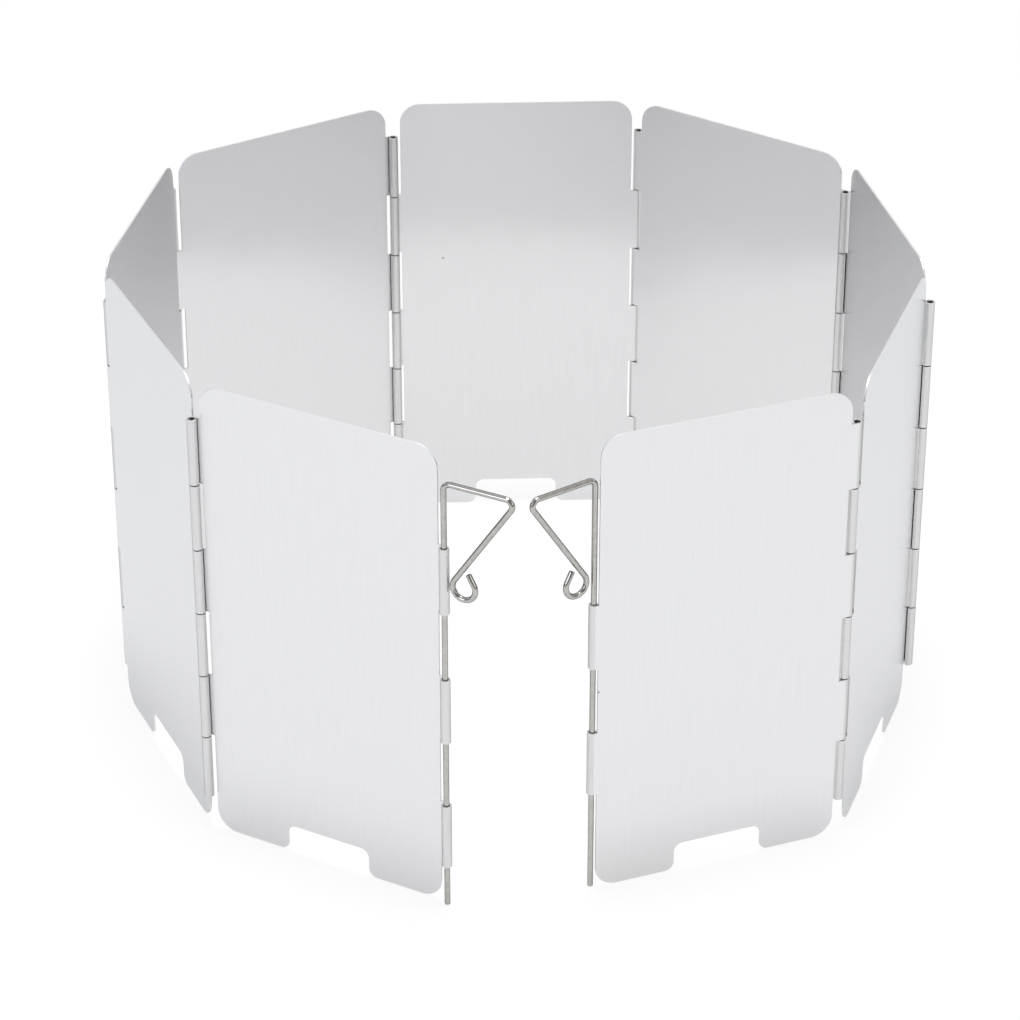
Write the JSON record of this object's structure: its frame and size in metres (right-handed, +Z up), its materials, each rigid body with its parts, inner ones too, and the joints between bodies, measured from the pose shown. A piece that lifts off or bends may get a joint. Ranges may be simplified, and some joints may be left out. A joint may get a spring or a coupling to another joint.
{
  "type": "stove windscreen",
  "caption": "Folding sheet-metal windscreen that stands round a camp stove in an open ring of hinged plates, with air notches and wire ground stakes at its free edges.",
  "frame": {"origin": "middle of the ring's outer box in plan, on the ground that the plates stand on", "axes": "+Z up; the ring's opening and its stakes face -Y; +X to the right of someone who looks in at the opening"},
  "size_m": [0.2246, 0.2276, 0.135],
  "materials": {
    "plate_sheet": "satin, finely brushed",
    "pin_wire": "drawn wire",
    "stake_wire": "bright drawn stainless wire"
  },
  "bodies": {
    "back": {"plate_back_center": "plate_sheet", "pin_back_left": "pin_wire", "pin_back_right": "pin_wire"},
    "back_left": {"plate_back_left": "plate_sheet", "pin_left_rear": "pin_wire"},
    "left_back": {"plate_left_back": "plate_sheet"},
    "left_front": {"plate_left_front": "plate_sheet", "pin_front_left": "pin_wire", "pin_left_side": "pin_wire"},
    "front_left": {"plate_front_left": "plate_sheet"},
    "back_right": {"plate_back_right": "plate_sheet"},
    "right_back": {"plate_right_back": "plate_sheet", "pin_right_rear": "pin_wire"},
    "right_front": {"plate_right_front": "plate_sheet", "pin_right_side": "pin_wire", "pin_front_right": "pin_wire"},
    "front_right": {"plate_front_right": "plate_sheet"},
    "left_stake": {"stake_left": "stake_wire"},
    "right_stake": {"stake_right": "stake_wire"}
  },
  "joints": [
    {"name": "left_wing_fold", "type": "hinge", "parent": "back", "child": "back_left", "pos_m": [-0.0324, 0.11028, 0.0675], "axis": [0, 0, 1], "range_deg": [0, 148.8]},
    {"name": "left_rear_hinge", "type": "hinge", "parent": "back_left", "child": "left_back", "pos_m": [-0.09671, 0.07568, 0.0675], "axis": [0, 0, -1], "range_deg": [0, 225.8]},
    {"name": "left_side_hinge", "type": "hinge", "parent": "left_back", "child": "left_front", "pos_m": [-0.11099, 0.00406, 0.0675], "axis": [0, 0, 1], "range_deg": [0, 144.3]},
    {"name": "front_left_hinge", "type": "hinge", "parent": "left_front", "child": "front_left", "pos_m": [-0.08629, -0.06467, 0.0675], "axis": [0, 0, -1], "range_deg": [0, 215.8]},
    {"name": "right_wing_fold", "type": "hinge", "parent": "back", "child": "back_right", "pos_m": [0.04061, 0.11248, 0.0675], "axis": [0, 0, 1], "range_deg": [0, 216.8]},
    {"name": "right_rear_hinge", "type": "hinge", "parent": "back_right", "child": "right_back", "pos_m": [0.09677, 0.0658, 0.0675], "axis": [0, 0, -1], "range_deg": [0, 136.3]},
    {"name": "right_side_hinge", "type": "hinge", "parent": "right_back", "child": "right_front", "pos_m": [0.11099, -0.00583, 0.0675], "axis": [0, 0, 1], "range_deg": [0, 209.3]},
    {"name": "front_right_hinge", "type": "hinge", "parent": "right_front", "child": "front_right", "pos_m": [0.08278, -0.0732, 0.0675], "axis": [0, 0, -1], "range_deg": [0, 128.8]},
    {"name": "left_stake_slide", "type": "slide", "parent": "front_left", "child": "left_stake", "axis": [0, 0, 1], "range_m": [-0.0145, 0.02]},
    {"name": "right_stake_slide", "type": "slide", "parent": "front_right", "child": "right_stake", "axis": [0, 0, 1], "range_m": [-0.0335, 0.02]}
  ],
  "couplings": [
    {"joint": "left_rear_hinge", "follows": "left_wing_fold", "ratio": 1.5175},
    {"joint": "left_side_hinge", "follows": "left_wing_fold", "ratio": 0.96976},
    {"joint": "front_left_hinge", "follows": "left_wing_fold", "ratio": 1.4503},
    {"joint": "right_rear_hinge", "follows": "right_wing_fold", "ratio": 0.62869},
    {"joint": "right_side_hinge", "follows": "right_wing_fold", "ratio": 0.96541},
    {"joint": "front_right_hinge", "follows": "right_wing_fold", "ratio": 0.5941}
  ]
}
